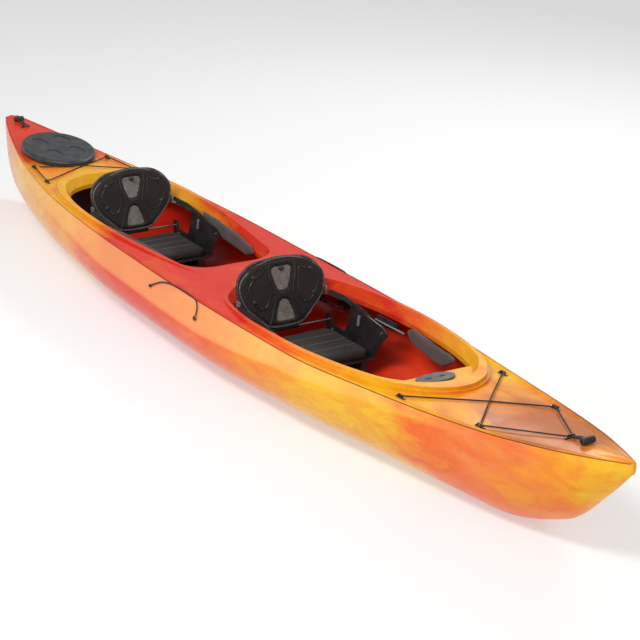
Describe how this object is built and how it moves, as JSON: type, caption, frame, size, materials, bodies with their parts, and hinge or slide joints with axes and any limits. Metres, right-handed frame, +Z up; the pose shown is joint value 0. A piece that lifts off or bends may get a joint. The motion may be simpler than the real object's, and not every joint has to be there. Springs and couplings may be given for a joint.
{
  "type": "tandem kayak",
  "caption": "Two-seat recreational sit-inside kayak with oval cockpits, padded folding seats, oval stern hatch, deck bungees and end carry handles.",
  "frame": {"origin": "bottom centre of the whole boat, on the ground under the keel", "axes": "+X to the bow, +Y to port, +Z up"},
  "size_m": [4.727, 0.742, 0.4518],
  "materials": {
    "hull": "marbled red, orange and yellow polyethylene",
    "deck": "marbled red, orange and yellow polyethylene",
    "hatch_cover": "soft dark grey",
    "rubber": "closed cell rubber",
    "fitting": "black moulded nylon",
    "steel": "stainless",
    "cord": "braided",
    "foam": "closed cell foam",
    "console": "grey",
    "thigh_pad": "grey-brown fabric",
    "bracket": "black",
    "aluminium": "anodised",
    "pedal": "black nylon",
    "seat_plastic": "black",
    "seat_fabric": "dark brown-black weave",
    "mesh": "open grey-brown mesh",
    "piping": "grey welt",
    "button": "black",
    "webbing": "polypropylene webbing",
    "clip": "grey"
  },
  "bodies": {
    "boat": {"bow_bungee": "cord", "bow_foam_block": "foam", "bridge_pillar": "foam", "bungee_knots": "cord", "console_pad": "console", "deck": "deck", "deck_pad_eyes": "fitting", "front_console": "foam", "front_foot_rails": "aluminium", "front_hinge_rod": "steel", "front_rail_blocks": "foam", "front_seat_base": "seat_plastic", "front_seat_bolts": "steel", "front_seat_clips": "clip", "front_seat_cushion": "seat_fabric", "front_seat_pan": "seat_plastic", "front_seat_straps": "webbing", "front_thigh_pads": "thigh_pad", "hatch_seal": "rubber", "hatch_tether": "cord", "hull": "hull", "pad_eye_screws": "steel", "paddle_bungees": "cord", "paddle_hooks": "fitting", "rear_foot_rails": "aluminium", "rear_hinge_rod": "steel", "rear_rail_blocks": "foam", "rear_seat_base": "seat_plastic", "rear_seat_bolts": "steel", "rear_seat_clips": "clip", "rear_seat_cushion": "seat_fabric", "rear_seat_pan": "seat_plastic", "rear_seat_straps": "webbing", "rear_thigh_pads": "thigh_pad", "stern_bulkhead": "foam", "stern_bungee": "cord", "thigh_pad_brackets": "bracket", "thigh_pad_rods": "steel"},
    "hatch_lid": {"hatch_cover": "hatch_cover"},
    "front_backrest": {"front_back_shell": "seat_plastic", "front_back_pad": "seat_fabric", "front_back_mesh": "mesh", "front_back_piping": "piping", "front_back_buttons": "button", "front_strap_buckles": "clip"},
    "front_port_pedal": {"front_port_foot_pedal": "pedal"},
    "front_starboard_pedal": {"front_starboard_foot_pedal": "pedal"},
    "rear_backrest": {"rear_back_shell": "seat_plastic", "rear_back_pad": "seat_fabric", "rear_back_mesh": "mesh", "rear_back_piping": "piping", "rear_back_buttons": "button", "rear_strap_buckles": "clip"},
    "rear_port_pedal": {"rear_port_foot_pedal": "pedal"},
    "rear_starboard_pedal": {"rear_starboard_foot_pedal": "pedal"},
    "bow_handle": {"bow_handle_rope": "cord", "bow_handle_grip": "fitting"},
    "stern_handle": {"stern_handle_rope": "cord", "stern_handle_grip": "fitting"}
  },
  "joints": [
    {"name": "hatch_lift", "type": "slide", "parent": "boat", "child": "hatch_lid", "axis": [0.0847, 0, 0.9964], "range_m": [0, 0.12]},
    {"name": "front_back_fold", "type": "hinge", "parent": "boat", "child": "front_backrest", "pos_m": [0.322, 0, 0.15], "axis": [0, 1, 0], "range_deg": [0, 60]},
    {"name": "front_port_pedal_slide", "type": "slide", "parent": "boat", "child": "front_port_pedal", "axis": [1, 0, 0], "range_m": [-0.11, 0.11]},
    {"name": "front_starboard_pedal_slide", "type": "slide", "parent": "boat", "child": "front_starboard_pedal", "axis": [1, 0, 0], "range_m": [-0.11, 0.11]},
    {"name": "rear_back_fold", "type": "hinge", "parent": "boat", "child": "rear_backrest", "pos_m": [-0.983, 0, 0.18], "axis": [0, 1, 0], "range_deg": [-12, 60]},
    {"name": "rear_port_pedal_slide", "type": "slide", "parent": "boat", "child": "rear_port_pedal", "axis": [1, 0, 0], "range_m": [-0.11, 0.11]},
    {"name": "rear_starboard_pedal_slide", "type": "slide", "parent": "boat", "child": "rear_starboard_pedal", "axis": [1, 0, 0], "range_m": [-0.11, 0.11]},
    {"name": "bow_handle_swing", "type": "hinge", "parent": "boat", "child": "bow_handle", "pos_m": [2.063, 0, 0.36], "axis": [0, 1, 0], "range_deg": [-90, 0]},
    {"name": "stern_handle_swing", "type": "hinge", "parent": "boat", "child": "stern_handle", "pos_m": [-2.19, 0, 0.388], "axis": [0, 1, 0], "range_deg": [0, 90]}
  ]
}
